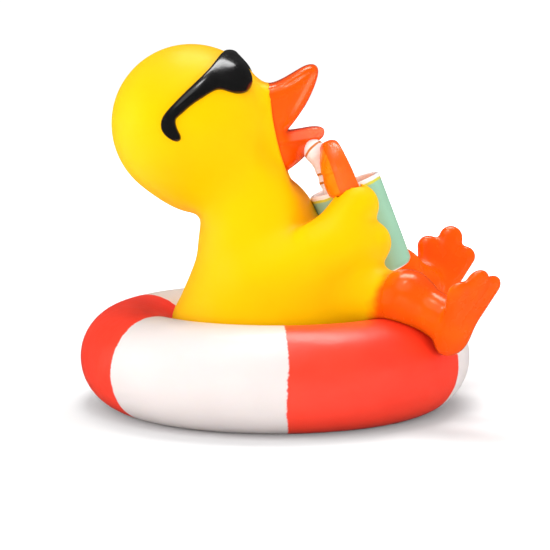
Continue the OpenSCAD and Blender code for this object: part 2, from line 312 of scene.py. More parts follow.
HEAD = (-45.5, 0, 153.4)
HEAD_RADII = (43.5, 43, 43.35)
NAPE = (-40, 0, 146)
NAPE_RADII = (38, 37, 41.5)
CHEEKS = (-22, 0, 147)
CHEEK_RADII = (24, 30, 28)
BELLY = (14, 0, 66)
BELLY_RADII = (43, 48, 32)
GAZE = math.radians(37)  # how far up the duck looks
FORWARD = (math.cos(GAZE), 0, math.sin(GAZE))
CROWN = (-math.sin(GAZE), 0, math.cos(GAZE))

TILT = math.radians(21)
RIM = (37.8, 0, 120.4)  # middle of the cup's rim
CUP_AXES = [
    (math.cos(TILT), 0, math.sin(TILT)),
    (0, 1, 0),
    (-math.sin(TILT), 0, math.cos(TILT)),
]
CUP_R = 20
CUP_H = 52.5
CUP_WALL = 2.3
STRAW_AT = (-9.3, -0.2)  # where the straw stands in the drink, in the cup's frame
STRAW_HOLE_R = 3.1
DRINK_TOP = -4.4
DRINK_BOTTOM = -9
SLICE_AT = (-0.1, -18.5, 10.4)  # in the cup's frame
SLICE_R = 16.5
SLICE_T = 11.5
PEEL_T = 2.2
FLESH_SUNK = 1.6  # how far the flesh's edge lies inside the peel's faces
FLESH_DOMES = (4.2, 1.4)  # how far its middle stands out, towards the duck and away from it
SLICE_YAW = math.radians(8)
SLICE_AXES = [
    (math.cos(SLICE_YAW), math.sin(SLICE_YAW), 0),
    (-math.sin(SLICE_YAW), math.cos(SLICE_YAW), 0),
    (0, 0, 1),
]

# The legs and wings are mirrored, so their places are given on the left, at +Y
LEG_SPLAY = math.radians(35)
KNEE = (70, 50, 64.7)
ANKLE = (86, 60, 56.5)
RIGHT_HEEL = (92.5, 63.5, 44.4)
LEFT_HEEL = (92, 63.5, 46.8)
KNEE_JOINT = 79  # distance from the ring's axis where the orange foot begins


def foot_axes(wide, up):
    wide, up = Vector(wide).normalized(), Vector(up).normalized()
    return [tuple(wide), tuple(up), tuple(wide.cross(up).normalized())]


# Each paddle's axes once it is mirrored: across the toes, and from heel to middle toe
RIGHT_PADDLE = foot_axes((0.76, -0.65, 0), (0.274, 0.383, 0.882))
LEFT_PADDLE = foot_axes((0.957, 0, -0.29), (0.277, 0.289, 0.916))
# Each toe's tip, across and up the paddle, and its radius
RIGHT_TOES = ((-11.5, 32, 6.2), (0, 37, 6.8), (11.5, 32.5, 6.2))
LEFT_TOES = ((-11.3, 30, 6.4), (0, 39, 6.8), (11.2, 30.8, 5.7))

# The seam between face and beak, as a plane
SEAM_AT = (1.9, 0, 152.3)
SEAM_NORMAL = (0.979, 0, 0.204)
SEAM_BOW = 2.2
SEAM_MIDDLE_Z = 150
SEAM_HALF_HEIGHT = 24
CHIN_Z = 127.5  # below this the throat is yellow
KNEE_TOP_Z = 84  # above this, what lies past the knee joint is wing


def mirrored(p):
    """Folds the right half of space onto the left, for what both sides share."""
    return [p[0], np.abs(p[1]), p[2]]


def out_along_leg(p):
    return p[0] * math.cos(LEG_SPLAY) + np.abs(p[1]) * math.sin(LEG_SPLAY)


def beyond_seam(p):
    """Distance past the seam, which bows towards the face halfway up."""
    flat = sum((p[i] - SEAM_AT[i]) * SEAM_NORMAL[i] for i in range(3))
    return flat + SEAM_BOW * np.maximum(1 - ((p[2] - SEAM_MIDDLE_Z) / SEAM_HALF_HEIGHT) ** 2, 0)


def in_cup(p):
    return local(p, RIM, CUP_AXES)


def in_slice(p):
    """Through the slice, across it and up it, so stretched that the slice is a disc in them.

    Its lower half, in the hand, is thicker and nearly straight, and closes 11 to 17 mm down.
    """
    a, b, c = local(in_cup(p), SLICE_AT, SLICE_AXES)
    thicker = 1 - 0.17 * smoothstep(14, -8, c)
    return thicker * a, 1.12 * b, np.where(c < 0, np.minimum(0.2 * c, 2.5 * c + 25), c)


# ---------- the duck ----------

# Body sections: height, back, front and half width
BODY = [
    (8, -50.4, 50.4, 50.4),
    (26, -50.4, 50.4, 50.4),
    (38, -54.5, 54, 53),
    (47, -56.6, 56, 54),
    (60, -51.3, 55, 51),
    (70, -47, 52, 47.5),
    (80, -43.4, 43, 43.5),
    (92, -41.8, 32, 39),
    (105, -40, 23.5, 36),
    (118, -37, 18.5, 32),
    (135, -30, 14, 28),
]

# Parts of a wing: start, end, and the radius at each
UPPER_ARM = (-4, 30, 73), (24, 35, 86.5), 16.5, 15.5
FOREARM = (24, 35, 86.5), (38, 32, 96), 15.5, 13
UPPER_FINGER = (30.5, 34, 94), (43.5, 28, 111.5), 13, 12
LOWER_FINGER = (33, 35, 88.5), (50, 28, 91.6), 14.5, 12.2
PALM = (40, 32, 85), (46, 34, 70), 13, 11.5
LEFT_HAND_LOWER = 6  # it holds the cup a little lower than the right hand does

# Parts of a leg, which end where the foot's heel begins
THIGH = (34, 20, 58), KNEE, 17, 13.8
CALF = KNEE, ANKLE, 13.8, 10
SHIN_RADII = (10, 8.2)

# The jowl under the cheeks, which carries the beak
JOWL = (-25, 0, 140), (-11, 0, 139), 26, 18

CHEST_AT = (12.7, 0, 120.6)
CHEST_NORMAL = (0.505, 0, 0.863)

# The beak's side outline, from the forehead round both bills to the chin
BEAK = [
    (-22, 176), (-12, 178), (-6.4, 176), (-2.4, 175.2), (3.4, 177.4), (11, 182), (17, 185.6),
    (21.8, 186), (24, 182.5), (22, 175), (17.6, 165.5), (12.4, 157.6), (7.6, 151.6), (6.6, 150.2),
    (8, 149.9), (14, 151), (22, 152.4), (27, 151.4), (27.4, 146.8), (23, 143.6), (15.6, 135),
    (8.6, 130), (4.4, 127), (-6, 124), (-22, 126),
]
BEAK_OUTLINE = rounded_outline(BEAK)
BEAK_HALF_WIDTH = 17.5
BEAK_REACH = 31
LOWER_BILL_SLIMMER = 0.42
CREASE = ((3, 143.4), (26, 146))  # of the lip on the lower bill, as (x, z) ends
CREASE_DEEP = 0.9
RIM_GROOVE_IN = 3.4  # the faint groove inside the upper bill's edge
RIM_GROOVE_DEEP = 0.45


def body_loft(p):
    z = p[2]
    back, front, half = (curve(z, BODY, column) for column in (1, 2, 3))
    centre, reach = (back + front) / 2, (front - back) / 2
    x, y = (p[0] - centre) / reach, p[1] / half
    return (length(x, y) - 1) * np.minimum(reach, half)


def torso(p):
    """The trunk, sliced off flat where the cup leans on the chest."""
    chest = sum((p[i] - CHEST_AT[i]) * CHEST_NORMAL[i] for i in range(3))
    return common(body_loft(p), chest, 9)


def belly(p):
    return ellipsoid(p, BELLY, BELLY_RADII)


def wing(p):
    """Both wings, with an upper and a lower finger and the palm under them."""
    q = mirrored(p)
    arm = union(round_cone(q, *UPPER_ARM), round_cone(q, *FOREARM), 8)
    lowered = [q[0], q[1], q[2] + LEFT_HAND_LOWER * smoothstep(0, 12, p[1])]
    fingers = union(round_cone(lowered, *UPPER_FINGER), round_cone(q, *LOWER_FINGER), 5)
    return union(union(arm, round_cone(q, *PALM), 9), fingers, 5)


def leg(p):
    """Both legs, down to the ankle."""
    q = mirrored(p)
    return union(round_cone(q, *THIGH), round_cone(q, *CALF), 6)


def beak_width(p):
    """Half the beak's width, which shrinks to the tip, more so on the lower bill."""
    ahead = np.maximum(beyond_seam(p), 0)
    width = BEAK_HALF_WIDTH * np.sqrt(np.maximum(1 - (ahead / BEAK_REACH) ** 2, 0.02))
    slim = smoothstep(154, 147, p[2]) * smoothstep(2, 17, ahead)
    return width * (1 - LOWER_BILL_SLIMMER * slim)


def muzzle(p):
    """The beak's side outline, as wide as the beak is."""
    side = outline_distance(p[0], p[2], BEAK_OUTLINE)
    return common(side, np.abs(p[1]) - beak_width(p), 9)


def cheeks(p):
    return union(ellipsoid(p, CHEEKS, CHEEK_RADII), round_cone(p, *JOWL), 8)


def ring_tube(p):
    """The swim ring, without its flat."""
    return length(length(p[0], p[1]) - RING_R, p[2] - RING_Z) - TUBE_R


def chamber_space(p):
    """The space in the duck for the canister, and the wider one for the base ring."""
    around = length(p[0], p[1])
    canister = np.maximum(around - CANISTER_R, p[2] - CANISTER_TOP)
    return np.minimum(canister, np.maximum(around - SKIRT_R + SKIRT_WALL, p[2] - BASE_RING_TOP))


def slice_disc(p, grow):
    """The slice, larger by grow, to cut its place out of what it sits in."""
    a, b, c = in_slice(p)
    return np.maximum(length(b, c) - SLICE_R - grow, np.abs(a) - SLICE_T / 2 - grow)


def cup_space(p, grow):
    """The cup, larger by grow and open upwards."""
    a, b, c = in_cup(p)
    return np.maximum(length(a, b) - CUP_R - grow, np.maximum(-CUP_H - grow - c, c - 4))


def duck_whole(p):
    """The duck with its beak and shins, whose fillets go on across the seams.

    The fillets are tight where the photo shows a crease: between forehead and bill, under the
    chin, and between hand and chest. They are wide on the sides of the neck.
    """
    head = union(ellipsoid(p, HEAD, HEAD_RADII), ellipsoid(p, NAPE, NAPE_RADII), 3)
    head = union(head, cheeks(p), 9)
    head = union(head, muzzle(p), 9 - 6 * smoothstep(160, 173, p[2]))
    fillet = 5 + 2 * smoothstep(-8, -38, p[0]) + 9 * smoothstep(6, 24, np.abs(p[1]))
    body = union(union(torso(p), belly(p), 10), head, fillet)
    crease = 12 - 9 * smoothstep(2, 18, p[0]) * smoothstep(88, 98, p[2])
    body = union(body, wing(p), crease)
    return union(body, leg(p), 12)


def duck_field(p):
    """The yellow moulding: the duck without its beak and feet, and clear of all that it touches."""
    f = duck_whole(p)
    f = common(f, np.minimum(beyond_seam(p), p[2] - CHIN_Z), SEAM_ROUND)
    f = common(f, np.minimum(out_along_leg(p) - KNEE_JOINT, KNEE_TOP_Z - p[2]), SEAM_ROUND)
    for space in (ring_tube(p) - GAP, cup_space(p, GAP), slice_disc(p, GAP), chamber_space(p)):
        f = np.maximum(f, -space)
    return np.maximum(f, SKIRT_BOTTOM - p[2])


PLUG_UNDER = 0.12  # how far under the skin a plug lies, and how far it reaches past a joint
PLUG_REACH = 1.6


def spigot(f, before_joint):
    """Ends a piece at a joint, with a plug just under the skin that fills the joint's groove."""
    plug = np.maximum(f + PLUG_UNDER, before_joint - PLUG_REACH)
    return np.minimum(common(f, before_joint, SEAM_ROUND), plug)


def segment_distance(u, v, segment):
    (au, av), (bu, bv) = segment
    du, dv = bu - au, bv - av
    t = np.clip(((u - au) * du + (v - av) * dv) / (du * du + dv * dv), 0, 1)
    return length(u - au - t * du, v - av - t * dv)


def beak_field(p):
    """The beak, with grooves on its sides only: the lip's crease and one round the upper bill."""
    f = muzzle(p)
    aside = smoothstep(4, 9, np.abs(p[1]))
    crease = segment_distance(p[0], p[2], CREASE)
    f = f + CREASE_DEEP * np.exp(-((crease / 1.1) ** 2)) * aside
    edge = outline_distance(p[0], p[2], BEAK_OUTLINE) + RIM_GROOVE_IN
    upper_tip = smoothstep(5, 11, beyond_seam(p)) * smoothstep(152, 156, p[2])
    f = f + RIM_GROOVE_DEEP * np.exp(-((edge / 0.9) ** 2)) * aside * upper_tip
    return spigot(f, -beyond_seam(p))


PADDLE_FLAT = 1.6  # how much thinner a toe is than it is wide
TOE_ROOT = 0.12  # how far apart the toes begin at the heel, as a part of their spread
HEEL_R = 6.5


def foot_field(p, heel, axes, toes):
    """A webbed paddle of three toes on the end of a shin, from the knee's joint on."""
    q = mirrored(p)
    a, b, c = local(q, heel, axes)
    flat = [a, b, PADDLE_FLAT * c]
    paddle = None
    for wide, high, r in toes:
        toe = round_cone(flat, (wide * TOE_ROOT, 0, 0), (wide, high, 0), HEEL_R, r)
        paddle = toe if paddle is None else union(paddle, toe, 5)
    shin_end = (heel[0] - 1.5, heel[1] - 0.5, heel[2] + 4)
    shin = union(leg(p), round_cone(q, ANKLE, shin_end, *SHIN_RADII), 6)
    f = union(shin, paddle, 8)
    f = spigot(f, KNEE_JOINT - out_along_leg(p))
    return np.maximum(f, -(ring_tube(p) - GAP))


def right_foot_field(p):
    return foot_field(p, RIGHT_HEEL, RIGHT_PADDLE, RIGHT_TOES)


def left_foot_field(p):
    return foot_field(p, LEFT_HEEL, LEFT_PADDLE, LEFT_TOES)


# ---------- sunglasses ----------

# One half of the sunglasses, as angles on the head: round from the nose, and up from the gaze
GLASSES = [
    (-8, 25), (8, 27.5), (16, 28.5), (26, 28), (38, 26.5), (50, 24.7), (69, 22.9), (82, 21.4),
    (95, 19.3), (101.5, 17), (105.5, 12.6), (106.4, 8), (105.2, 2.2), (101.6, -3.4), (97.2, -2.4),
    (96, 5.5), (93.6, 10.6), (89.8, 11), (77.6, 11.9), (68.5, 11.2), (58, 10.3), (52.6, 8),
    (48.5, 2.5), (44, -1.8), (36.7, -4.8), (29.3, -4.6), (22, -1.8), (16.5, 3), (12.8, 9),
    (9, 14.5), (4, 17), (-8, 17.5),
]
GLASSES_OUTLINE = rounded_outline(GLASSES)
LENS_AT = (29.5, 12)  # the middle of a lens in the same angles, and its half widths
LENS_SIZE = (16, 12.5)
FRAME_SWELL = 3.0  # height of the frame over the skin
FRAME_ROUND = 4.5  # width of its rounded edge
FRAME_SUNK = 1.5  # depth of the frame under the skin
LENS_DOME = 1.3
LENS_LOWER = 0.05  # how much lower than the frame a lens starts at its edge
LENS_R = 11  # about the size of a lens on the head
LENS_BACK = 0.5  # height of its inner face over the skin


def on_head(p):
    """Angles round and up on the head in degrees, and the height above its skin."""
    ahead, aside, up = local(p, HEAD, (FORWARD, (0, 1, 0), CROWN))
    r = np.maximum(length(ahead, aside, up), 1e-3)
    turn = np.degrees(np.arctan2(np.abs(aside), ahead))
    lift = np.degrees(np.arcsin(np.clip(up / r, -1, 1)))
    return turn, lift, ellipsoid(p, HEAD, HEAD_RADII)


def glasses_parts(p):
    """Distance inside the outline on the skin, height above the skin, and 0 to 1 across a lens."""
    turn, lift, skin = on_head(p)
    degree = math.radians(HEAD_RADII[0] + 2)  # length of a degree on the glasses
    shrink = np.cos(np.radians(np.clip(lift, -60, 60)))  # of a degree round, away from the gaze
    inside = -outline_distance(turn, lift, GLASSES_OUTLINE) * degree * (0.5 + 0.5 * shrink)
    lens = length((turn - LENS_AT[0]) / LENS_SIZE[0], (lift - LENS_AT[1]) / LENS_SIZE[1])
    return inside, skin, lens


def swell(inside):
    """The rounded height of the frame, by the distance inside its outline."""
    reach = np.clip(inside / FRAME_ROUND, 0, 1)
    return FRAME_SWELL * np.sqrt(1 - (1 - reach) ** 2)


def frame_field(p):
    inside, skin, _ = glasses_parts(p)
    return np.maximum(np.maximum(skin - swell(inside), -inside), -FRAME_SUNK - skin)


def lens_field(p):
    """The lens rises in a shallow dome out of the frame, with no step round it."""
    inside, skin, lens = glasses_parts(p)
    dome = LENS_DOME * np.maximum(1 - lens**2, 0) ** 2 - LENS_LOWER
    across = (lens - 1) * LENS_R
    return np.maximum(np.maximum(skin - swell(inside) - dome, across), LENS_BACK - skin)


# ---------- the drink ----------


def rounded_cylinder(around, z, radius, low, high, edge):
    d = [around - radius + edge, np.maximum(low - z, z - high) + edge]
    outside = length(np.maximum(d[0], 0), np.maximum(d[1], 0))
    return outside + np.minimum(np.maximum(d[0], d[1]), 0) - edge


def cup_field(p):
    """A beaker with a round foot and a sharper rim, cut where the slice and the chamber are."""
    a, b, c = in_cup(p)
    around = length(a, b)
    foot = rounded_cylinder(around, c, CUP_R, -CUP_H, 0, 3.6)
    rim = rounded_cylinder(around, c, CUP_R, -CUP_H + 20, 0, 0.9)
    hollow = np.maximum(around - CUP_R + CUP_WALL, -CUP_H + 2 - c)
    f = cut(np.minimum(foot, rim), hollow, 1.2)
    return np.maximum(f, -np.minimum(slice_disc(p, DRINK_GAP), chamber_space(p)))


def drink_field(p):
    """A disc of drink that climbs a little at the cup's wall, with a hole for the straw."""
    a, b, c = in_cup(p)
    around = length(a, b)
    ripple = 0.25 * np.cos(around * 0.9 - 0.4) + 1.2 * smoothstep(15, 17.6, around)
    below_top = c - DRINK_TOP - ripple
    f = np.maximum(np.maximum(around - CUP_R + CUP_WALL + 0.1, below_top), DRINK_BOTTOM - c)
    f = np.maximum(f, STRAW_HOLE_R - length(a - STRAW_AT[0], b - STRAW_AT[1]))
    return np.maximum(f, -slice_disc(p, DRINK_GAP))


# The straw's middle line and radii, in the cup's frame: a thin stem and a swollen bend
STRAW = [
    ((-9.3, 0, -8), 2.9), ((-9.1, -0.8, 5), 2.9), ((-8.6, -3, 12), 3.1), ((-8.4, -5.2, 17.5), 3.7),
    ((-8.5, -6.4, 22.5), 5.5), ((-8.5, -6.5, 24), 5.8),
]
# The stripe on the bend: a point on it, and the way that the straw runs there
BEND_AT = (21.3, -6.5, 139.8)
BEND_WAY = (-0.665, 0.375, 0.645)


def straw_field(p):
    """The straw, out of the drink and up to the beak."""
    q = in_cup(p)
    f = None
    for (start, start_r), (end, end_r) in zip(STRAW, STRAW[1:]):
        part = round_cone(q, start, end, start_r, end_r)
        f = part if f is None else union(f, part, 2)
    return f


def rind_field(p):
    """The slice's peel, a ring round the flesh."""
    a, b, c = in_slice(p)
    around = length(b, c)
    f = rounded_cylinder(around, a, SLICE_R, -SLICE_T / 2, SLICE_T / 2, 5)
    return common(f, SLICE_R - PEEL_T - around, 0.7)


def flesh_field(p):
    """Segments between eight grooves that meet in the middle."""
    a, b, c = in_slice(p)
    around = length(b, c)
    spoke = np.abs(np.sin(4 * np.arctan2(c, b))) * around / 4
    groove = 0.5 * np.exp(-((spoke / 0.55) ** 2)) + 0.5 * np.exp(-((around / 1.2) ** 2))
    swollen = np.where(a < 0, *FLESH_DOMES)
    dome = np.maximum(1 - (around / (SLICE_R - 2)) ** 2, 0) * swollen
    f = np.abs(a) - SLICE_T / 2 + FLESH_SUNK - dome + groove
    return common(f, around - SLICE_R + PEEL_T + 0.05, 0.5)


# ---------- materials ----------


class Shader:
    """A material under construction: adds nodes and joins them.

    Its coordinates are in metres, so a noise scale is a number of waves to the metre.
    """

    def __init__(self, name):
        self.material = bpy.data.materials.new(name)
        self.material.use_nodes = True
        self.tree = self.material.node_tree
        self.main = self.tree.nodes["Principled BSDF"]
        self.place = self.tree.nodes.new("ShaderNodeTexCoord").outputs["Object"]

    def put(self, target, value):
        if hasattr(value, "is_output"):
            self.tree.links.new(value, target)
        else:
            target.default_value = value

    def node(self, kind, output=0, settings=None, **inputs):
        """Adds a node and gives one of its outputs. Inputs go by name, or as i0, i1 by number."""
        node = self.tree.nodes.new("ShaderNode" + kind)
        for key, value in (settings or {}).items():
            setattr(node, key, value)
        for key, value in inputs.items():
            key = int(key[1:]) if key[0] == "i" and key[1:].isdigit() else key
            self.put(node.inputs[key], value)
        return node.outputs[output]

    def math(self, operation, a, b=0.0, c=0.0):
        return self.node("Math", settings={"operation": operation}, i0=a, i1=b, i2=c)

    def times(self, *values):
        return reduce(lambda a, b: self.math("MULTIPLY", a, b), values)

    def plus(self, *values):
        return reduce(lambda a, b: self.math("ADD", a, b), values)

    def minus(self, a, b):
        return self.math("SUBTRACT", a, b)

    def flip(self, value):
        return self.minus(1.0, value)

    def noise(self, scale, detail=3.0, rough=0.5, place=None):
        return self.node(
            "TexNoise", Vector=place or self.place, Scale=scale, Detail=detail, Roughness=rough
        )

    def wobble(self, scale, detail, size):
        """Noise about zero, size across."""
        return self.times(self.minus(self.noise(scale, detail), 0.5), size)

    def ramp(self, value, low, high):
        """0 below low, 1 above high, smooth between."""
        settings = {"interpolation_type": "SMOOTHSTEP"}
        return self.node("MapRange", settings=settings, Value=value, i1=low, i2=high)

    def mix(self, factor, a, b, blend="MIX"):
        node = self.tree.nodes.new("ShaderNodeMix")
        node.data_type = "RGBA"
        node.blend_type = blend
        for key, value in (("Factor_Float", factor), ("A_Color", a), ("B_Color", b)):
            self.put(next(s for s in node.inputs if s.identifier == key), value)
        return next(s for s in node.outputs if s.identifier == "Result_Color")

    def axis(self, name):
        return self.node("SeparateXYZ", "XYZ".index(name), Vector=self.place)

    def surface(self, **values):
        for key, value in values.items():
            self.put(self.main.inputs[key.replace("_", " ")], value)

    def bumps(self, layers):
        """Bump from several (height, distance in metres) layers."""
        normal = None
        for height, distance in layers:
            inputs = {"Height": height, "Distance": distance, "Strength": 1.0}
            if normal is not None:
                inputs["Normal"] = normal
            normal = self.node("Bump", **inputs)
        self.put(self.main.inputs["Normal"], normal)


def colour(red, green, blue):
    """A colour as seen on a screen, from 0 to 255, in the renderer's own units."""
    return tuple(
        (c / 255 / 12.92) if c <= 10 else ((c / 255 + 0.055) / 1.055) ** 2.4
        for c in (red, green, blue)
    ) + (1.0,)


def shade(rgba, factor):
    return tuple(min(1, c * factor) for c in rgba[:3]) + (1.0,)


PLAIN = (1, 1, 1, 1)


def finish(
    s, base, rough, variation=0.06, grain=0.00004, coat=0.0, soft=0.0, mirror=0.5, tint=PLAIN
):
    """Cast vinyl: faint cloudiness, uneven gloss, a fine skin and soft lumps from the mould.

    Soft is how much light goes through it, mirror how strongly it reflects, and tint the colour
    of its reflections, which is near the paint's where white ones would wash the paint out.
    """
    cloudy = (1 - variation, 1 - variation * 1.2, 1 - variation, 1)
    cloud = s.mix(s.noise(38, 4, 0.55), cloudy, PLAIN)
    s.surface(Base_Color=s.mix(1.0, base, cloud, "MULTIPLY"))
    s.surface(Roughness=s.math("MULTIPLY_ADD", s.noise(120, 3), 0.16, rough - 0.08))
    s.surface(Coat_Weight=coat, Coat_Roughness=0.18, Specular_IOR_Level=mirror, Specular_Tint=tint)
    if soft:
        s.surface(Subsurface_Weight=soft, Subsurface_Scale=0.004)
        s.surface(Subsurface_Radius=(1.0, 0.6, 0.25))
    s.bumps([(s.noise(55, 3), 0.0004), (s.noise(900, 2, 0.6), grain)])
    return s.material


YELLOW = colour(255, 192, 0)
ORANGE = colour(255, 84, 0)
RED = colour(246, 52, 28)
WHITE = colour(222, 213, 210)
BRIGHT = colour(250, 244, 240)
MINT = colour(154, 200, 170)
STRIPES = (0.0053, 0.0103)  # heights of the straw's stripes above the cup's rim, in metres


SPRAY = (0.0690, 0.0785)  # metres out along a leg, over which the orange fades in
SPRAY_MIDDLE_Z = 0.0665
SPRAY_LEAN = -0.25  # its edge leans outwards, up the thigh


def yellow_vinyl():
    """Yellow, fading to sprayed orange where the thighs meet the feet."""
    s = Shader("yellow_vinyl")
    side = s.math("ABSOLUTE", s.axis("Y"))
    out = s.plus(
        s.times(s.axis("X"), math.cos(LEG_SPLAY)),
        s.times(side, math.sin(LEG_SPLAY)),
        s.times(s.minus(s.axis("Z"), SPRAY_MIDDLE_Z), SPRAY_LEAN),
        s.wobble(130, 4, 0.006),
    )
    spray = s.ramp(out, *SPRAY)
    warm = s.ramp(s.noise(14, 2), 0.35, 0.75)
    skin = s.mix(warm, YELLOW, colour(255, 184, 0))
    base = s.mix(spray, skin, ORANGE)
    return finish(s, base, 0.45, variation=0.03, soft=0.1, mirror=0.4, tint=(1, 0.8, 0.15, 1))


UPPER_EDGE_HIGHLIGHT = (0.876, -0.482, 0.0687)  # the painted highlight's line along the upper bill's edge: its normal in X and Z, and its offset


def lower_lip_sheen(s):
    """1 on the lower bill between the crease of its lip and the mouth, where a painted sheen goes,
    else 0.
    """
    (x0, z0), (x1, z1) = CREASE
    rise = (z1 - z0) / (x1 - x0)
    start = z0 - rise * x0
    x, z = s.axis("X"), s.axis("Z")
    above_crease = s.math("MULTIPLY_ADD", x, -rise, z)
    return s.times(
        s.ramp(above_crease, (start + 0.3) * MM, (start + 1.5) * MM),
        s.flip(s.ramp(z, 0.1535, 0.1545)),
        s.ramp(x, 0.006, 0.011),
        s.flip(s.ramp(x, 0.030, 0.034)),
    )


def upper_edge_highlight(s):
    """1 along the upper bill's edge round the mouth, which is about straight, where a painted
    highlight goes, else 0.
    """
    x_part, z_part, offset = UPPER_EDGE_HIGHLIGHT
    off = s.plus(s.times(s.axis("X"), x_part), s.times(s.axis("Z"), z_part), offset)
    close = s.flip(s.ramp(s.math("ABSOLUTE", off), 0.0004, 0.0017))
    z = s.axis("Z")
    return s.times(close, s.minus(s.ramp(z, 0.157, 0.166), s.ramp(z, 0.178, 0.183)))


def orange_vinyl():
    """Orange, with painted light: a painted sheen on the lower bill's lip and a painted highlight
    along the upper bill's edge, both paler.
    """
    s = Shader("orange_vinyl")
    patchy = s.ramp(s.noise(45, 4), 0.4, 0.8)
    base = s.mix(patchy, ORANGE, colour(255, 94, 0))
    # painted sheen: the lower bill's lip is paler above its crease, as the sky's reflection would
    # make it
    base = s.mix(s.times(lower_lip_sheen(s), 0.4), base, colour(255, 142, 112))
    # painted highlight: a paler stripe along the upper bill's edge, where its rim would catch the
    # light
    base = s.mix(s.times(upper_edge_highlight(s), 0.35), base, colour(255, 160, 112))
    return finish(
        s, base, 0.26, variation=0.05, coat=0.5, soft=0.1, grain=0.00002, tint=(1, 0.5, 0.2, 1)
    )


# The ring's red bands, by angle from the right-hand side towards the front
BAND_START = math.radians(3.6)
BAND_PITCH = math.radians(120)
BAND_WIDTH = math.radians(62.4)


def ring_vinyl():
    """Three red bands on white, with hand-sprayed edges, by angle round the ring."""
    s = Shader("ring_vinyl")
    angle = s.math("ARCTAN2", s.axis("X"), s.times(s.axis("Y"), -1.0))
    angle = s.plus(angle, s.wobble(30, 3, 0.055), s.wobble(420, 3, 0.02))
    turn = s.math("FLOORED_MODULO", s.minus(angle, BAND_START), BAND_PITCH)
    fall = s.ramp(turn, BAND_WIDTH - 0.002, BAND_WIDTH + 0.009)
    red = s.times(s.ramp(turn, -0.001, 0.010), s.flip(fall))
    faded = s.ramp(s.noise(22, 3), 0.3, 0.8)
    red_paint = s.mix(faded, RED, colour(252, 62, 36))
    white = s.mix(s.noise(26, 3), WHITE, colour(230, 222, 219))
    paint = s.mix(red, white, red_paint)
    # keeps the red from colouring the floor's shadow more than it does under a wide soft sky
    bounced = s.node("LightPath", "Is Diffuse Ray")
    paint = s.mix(bounced, paint, (0.42, 0.36, 0.36, 1))
    return finish(s, paint, 0.36, variation=0.04, soft=0.08, mirror=1.0, tint=(1, 0.8, 0.76, 1))


def black_gloss():
    """Black, with a breath of dust."""
    s = Shader("black_gloss")
    dust = s.ramp(s.noise(240, 5, 0.7), 0.55, 0.8)
    base = s.mix(dust, (0.005, 0.005, 0.005, 1), (0.014, 0.014, 0.013, 1))
    return finish(s, base, 0.22, variation=0.1, coat=0.6)


def along_cup(s, axis):
    """Metres along one of the cup's axes, from the middle of its rim."""
    x = s.minus(s.axis("X"), RIM[0] * MM)
    z = s.minus(s.axis("Z"), RIM[2] * MM)
    return s.plus(s.times(x, axis[0]), s.times(z, axis[2]))


def cup_paint():
    """Mint outside, then a thin yellow-green line and a white rim and inside."""
    s = Shader("cup_paint")
    across, y = along_cup(s, CUP_AXES[0]), s.axis("Y")
    around = s.math("SQRT", s.plus(s.times(across, across), s.times(y, y)))
    level = s.plus(along_cup(s, CUP_AXES[2]), s.wobble(160, 3, 0.0012))
    inside = s.flip(s.ramp(around, 0.0186, 0.0190))
    white = s.math("MAXIMUM", s.ramp(level, -0.0024, -0.0019), inside)
    line = s.ramp(level, -0.0040, -0.0033)
    mint = s.mix(s.ramp(s.noise(28, 3), 0.3, 0.8), MINT, colour(149, 199, 170))
    base = s.mix(line, mint, colour(214, 210, 70))
    base = s.mix(white, base, BRIGHT)
    return finish(s, base, 0.34, variation=0.05, coat=0.25)


def drink_paint():
    """Beige, with a cloudy surface."""
    s = Shader("drink_paint")
    base = s.mix(s.ramp(s.noise(90, 3), 0.3, 0.7), colour(226, 186, 160), colour(240, 208, 188))
    return finish(s, base, 0.3, coat=0.3)


def straw_paint():
    """White with thin orange-brown stripes: two across the stem and one across the bend."""
    s = Shader("straw_paint")
    up = along_cup(s, CUP_AXES[2])
    bend = s.plus(*(s.times(s.axis(name), way) for name, way in zip("XYZ", BEND_WAY)))
    middle = sum(a * b for a, b in zip(BEND_AT, BEND_WAY)) * MM
    wobble = s.wobble(260, 2, 0.0008)
    stripe = 0.0
    for level, height in [(up, h) for h in STRIPES] + [(bend, middle)]:
        off = s.math("ABSOLUTE", s.minus(s.plus(level, wobble), height))
        stripe = s.math("MAXIMUM", stripe, s.flip(s.ramp(off, 0.00045, 0.0008)))
    base = s.mix(stripe, BRIGHT, colour(205, 120, 30))
    return finish(s, base, 0.32, coat=0.2)


def peel_paint():
    """Orange peel with its pits."""
    s = Shader("peel_paint")
    pits = s.node("TexVoronoi", Vector=s.place, Scale=1100.0)
    base = s.mix(s.ramp(s.noise(70, 3), 0.3, 0.8), colour(255, 92, 0), colour(255, 106, 0))
    finish(s, base, 0.3, coat=0.3)
    s.bumps([(pits, 0.00012), (s.noise(60, 3), 0.0003)])
    return s.material


def flesh_paint():
    """Paler orange, patchy like pulp."""
    s = Shader("flesh_paint")
    base = s.mix(s.ramp(s.noise(160, 4), 0.3, 0.8), colour(252, 128, 8), colour(255, 142, 22))
    return finish(s, base, 0.3, coat=0.3)


def moulded(name, rgba, rough=0.5):
    """Injection-moulded plastic: an even tint with fine spark-eroded texture and scuffs."""
    s = Shader(name)
    scuff = s.ramp(s.noise(420, 6, 0.75), 0.62, 0.85)
    base = s.mix(s.noise(60, 3), rgba, shade(rgba, 0.93))
    base = s.mix(scuff, base, shade(rgba, 0.8))
    s.surface(Base_Color=base)
    s.surface(Roughness=s.math("MULTIPLY_ADD", s.noise(300, 4), 0.2, rough - 0.1))
    s.bumps([(s.noise(2600, 2), 0.00003), (s.noise(90, 3), 0.0002)])
    return s.material


